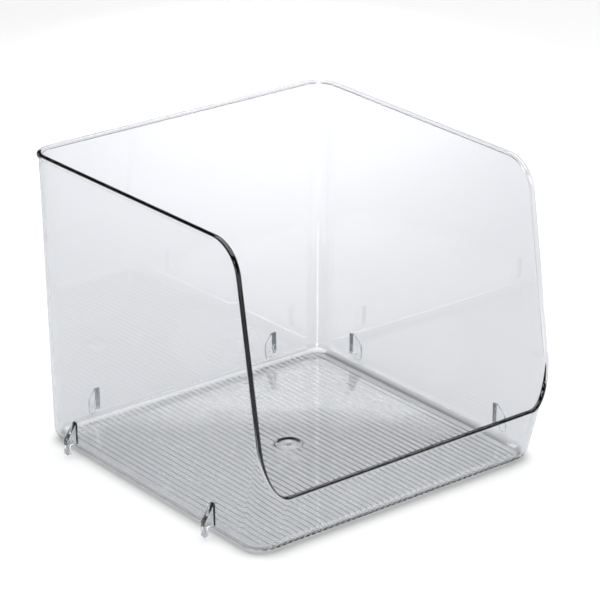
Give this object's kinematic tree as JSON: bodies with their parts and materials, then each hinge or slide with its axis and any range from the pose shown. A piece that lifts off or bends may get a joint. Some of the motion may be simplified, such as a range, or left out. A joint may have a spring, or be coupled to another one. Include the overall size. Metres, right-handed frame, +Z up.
{
  "type": "open-front stacking storage bin",
  "caption": "Clear one-piece plastic storage bin with an open slanted front, a low front lip, a rounded rim bead and hooked stacking tabs on its base.",
  "frame": {"origin": "on the surface that the bin stands on, at the middle of its whole outline with the stacking tabs", "axes": "+Z up, +X to the bin's right seen from behind it, the open front faces -Y"},
  "size_m": [0.2632, 0.259, 0.2113],
  "materials": {
    "clear_floor": "clear polished injection-moulded plastic",
    "clear_wall": "clear polished injection-moulded plastic",
    "clear_bead": "clear polished injection-moulded plastic",
    "clear_tab": "clear polished injection-moulded plastic"
  },
  "bodies": {
    "root": {"back_left_corner": "clear_wall", "back_right_corner": "clear_wall", "back_wall": "clear_wall", "base_radius_back": "clear_floor", "base_radius_front": "clear_floor", "base_radius_left": "clear_floor", "base_radius_right": "clear_floor", "floor_panel": "clear_floor", "front_edge_bead_left": "clear_bead", "front_edge_bead_right": "clear_bead", "front_left_corner": "clear_wall", "front_lip_wall": "clear_wall", "front_right_corner": "clear_wall", "left_side_wall": "clear_wall", "lip_bead": "clear_bead", "lip_corner_bead_left": "clear_bead", "lip_corner_bead_right": "clear_bead", "right_side_wall": "clear_wall", "rim_bead_back": "clear_bead", "rim_bead_back_left": "clear_bead", "rim_bead_back_right": "clear_bead", "rim_bead_left": "clear_bead", "rim_bead_right": "clear_bead", "shoulder_bead_left": "clear_bead", "shoulder_bead_right": "clear_bead", "stacking_tab_back_left": "clear_tab", "stacking_tab_back_right": "clear_tab", "stacking_tab_left_front": "clear_tab", "stacking_tab_left_rear": "clear_tab", "stacking_tab_right_front": "clear_tab", "stacking_tab_right_rear": "clear_tab"}
  },
  "joints": []
}
